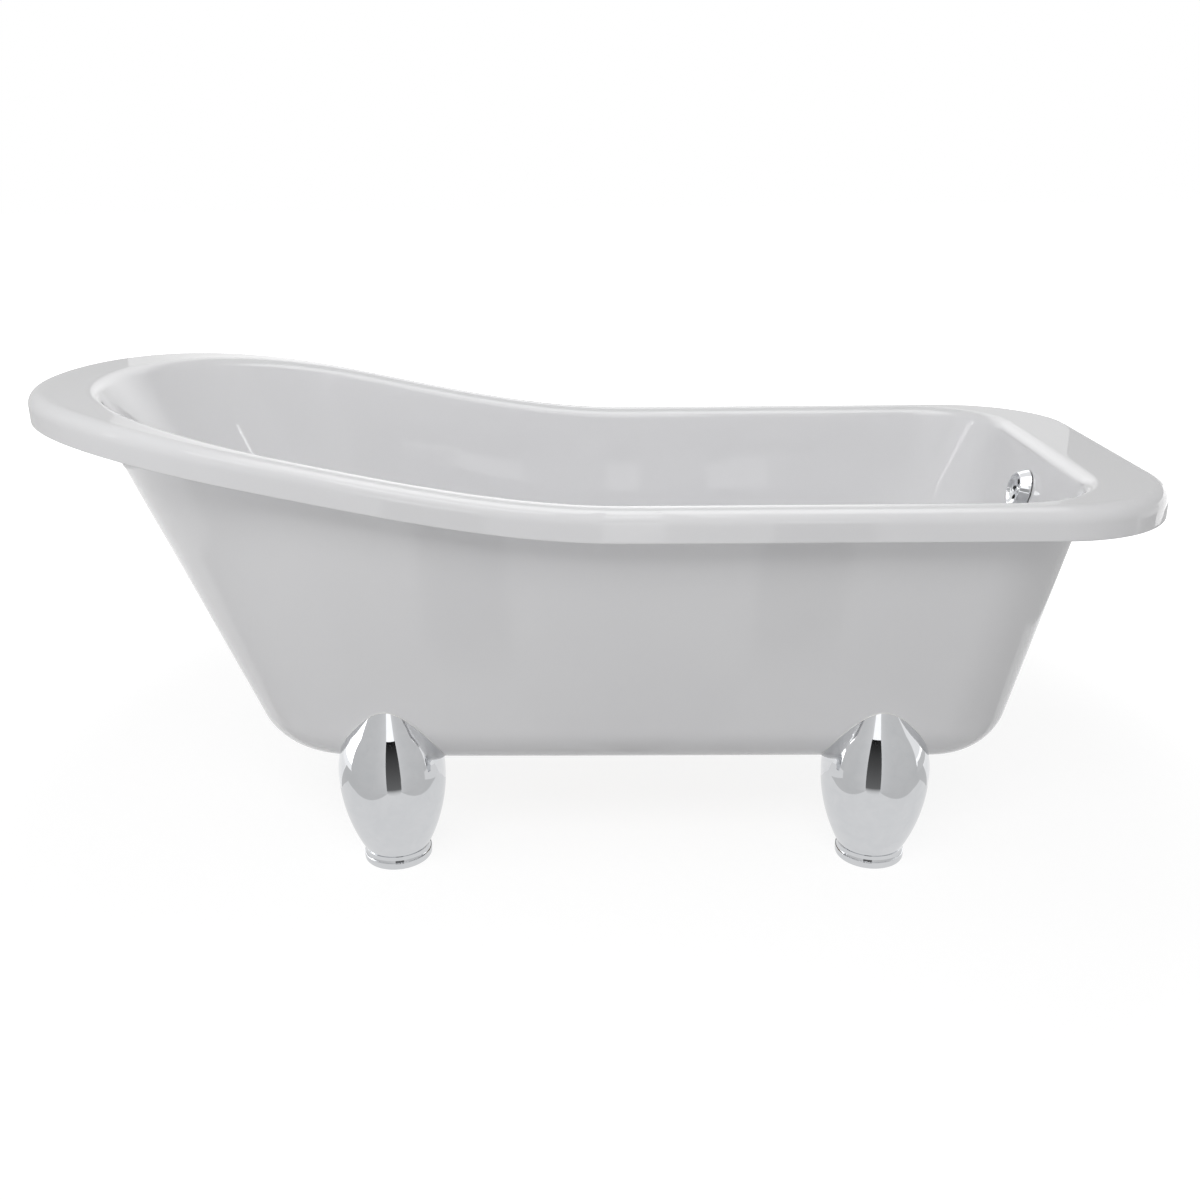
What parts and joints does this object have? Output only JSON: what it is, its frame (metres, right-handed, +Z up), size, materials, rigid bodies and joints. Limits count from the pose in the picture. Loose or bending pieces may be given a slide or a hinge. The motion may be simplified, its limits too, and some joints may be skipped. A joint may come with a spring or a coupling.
{
  "type": "freestanding slipper bathtub",
  "caption": "Freestanding slipper bath with a raised rolled rim at one end, twin-skinned tapered body, egg-shaped chromed feet, an overflow and a click waste.",
  "frame": {"origin": "on the floor under the middle of the bath's overall length and width", "axes": "+Z up; +X along the bath towards the end with the waste and overflow, the raised slipper end at -X; +Y across"},
  "size_m": [1.7001, 0.7504, 0.7299],
  "materials": {
    "acrylic_inner": "gloss",
    "acrylic_outer": "gloss",
    "board_wood": "sealed particle board",
    "insert_brass": "turned",
    "fastener_steel": "bright zinc",
    "stud_steel": "bright zinc",
    "foot_chrome": "polished",
    "fitting_chrome": "polished",
    "seal_rubber": "matt",
    "gasket_rubber": "matt",
    "pad_nylon": "matt",
    "moulding_plastic": "satin",
    "hose_plastic": "matt",
    "cartridge_brass": "turned"
  },
  "bodies": {
    "tub": {"inner_shell": "acrylic_inner", "outer_skin": "acrylic_outer", "base_board": "board_wood", "board_inserts": "insert_brass", "foot_bolts": "fastener_steel", "foot_washers": "fastener_steel", "jam_nuts": "fastener_steel", "overflow_bezel": "fitting_chrome", "overflow_screw": "fitting_chrome", "overflow_seal_front": "seal_rubber", "overflow_seal_rear": "seal_rubber", "overflow_elbow": "moulding_plastic", "overflow_hose": "hose_plastic", "hose_clips": "fastener_steel", "waste_flange": "fitting_chrome", "waste_seal_upper": "seal_rubber", "waste_seal_lower": "seal_rubber", "waste_body": "moulding_plastic", "waste_cartridge": "cartridge_brass", "foot_slipper_front": "foot_chrome", "foot_gasket_slipper_front": "gasket_rubber", "foot_slipper_back": "foot_chrome", "foot_gasket_slipper_back": "gasket_rubber", "foot_tap_front": "foot_chrome", "foot_gasket_tap_front": "gasket_rubber", "foot_tap_back": "foot_chrome", "foot_gasket_tap_back": "gasket_rubber"},
    "plug": {"waste_plug": "fitting_chrome", "plug_seal": "seal_rubber"},
    "pad_slipper_front": {"adjuster_pad_slipper_front": "pad_nylon"},
    "stud_slipper_front": {"adjuster_stud_slipper_front": "stud_steel"},
    "pad_slipper_back": {"adjuster_pad_slipper_back": "pad_nylon"},
    "stud_slipper_back": {"adjuster_stud_slipper_back": "stud_steel"},
    "pad_tap_front": {"adjuster_pad_tap_front": "pad_nylon"},
    "stud_tap_front": {"adjuster_stud_tap_front": "stud_steel"},
    "pad_tap_back": {"adjuster_pad_tap_back": "pad_nylon"},
    "stud_tap_back": {"adjuster_stud_tap_back": "stud_steel"}
  },
  "joints": [
    {"name": "plug_lift", "type": "slide", "parent": "tub", "child": "plug", "axis": [0, 0, 1], "range_m": [0, 0.009]},
    {"name": "pad_drop_slipper_front", "type": "slide", "parent": "tub", "child": "pad_slipper_front", "axis": [0, 0, -1], "range_m": [0, 0.01225]},
    {"name": "stud_turn_slipper_front", "type": "hinge", "parent": "pad_slipper_front", "child": "stud_slipper_front", "pos_m": [-0.3, -0.245, 0.03], "axis": [0, 0, -1], "range_deg": [0, 2521]},
    {"name": "pad_drop_slipper_back", "type": "slide", "parent": "tub", "child": "pad_slipper_back", "axis": [0, 0, -1], "range_m": [0, 0.01225]},
    {"name": "stud_turn_slipper_back", "type": "hinge", "parent": "pad_slipper_back", "child": "stud_slipper_back", "pos_m": [-0.3, 0.245, 0.03], "axis": [0, 0, -1], "range_deg": [0, 2521]},
    {"name": "pad_drop_tap_front", "type": "slide", "parent": "tub", "child": "pad_tap_front", "axis": [0, 0, -1], "range_m": [0, 0.01225]},
    {"name": "stud_turn_tap_front", "type": "hinge", "parent": "pad_tap_front", "child": "stud_tap_front", "pos_m": [0.45, -0.245, 0.03], "axis": [0, 0, -1], "range_deg": [0, 2521]},
    {"name": "pad_drop_tap_back", "type": "slide", "parent": "tub", "child": "pad_tap_back", "axis": [0, 0, -1], "range_m": [0, 0.01225]},
    {"name": "stud_turn_tap_back", "type": "hinge", "parent": "pad_tap_back", "child": "stud_tap_back", "pos_m": [0.45, 0.245, 0.03], "axis": [0, 0, -1], "range_deg": [0, 2521]}
  ],
  "couplings": [
    {"joint": "stud_turn_slipper_front", "follows": "pad_drop_slipper_front", "rad_per_m": 3590.4},
    {"joint": "stud_turn_slipper_back", "follows": "pad_drop_slipper_back", "rad_per_m": 3590.4},
    {"joint": "stud_turn_tap_front", "follows": "pad_drop_tap_front", "rad_per_m": 3590.4},
    {"joint": "stud_turn_tap_back", "follows": "pad_drop_tap_back", "rad_per_m": 3590.4}
  ]
}
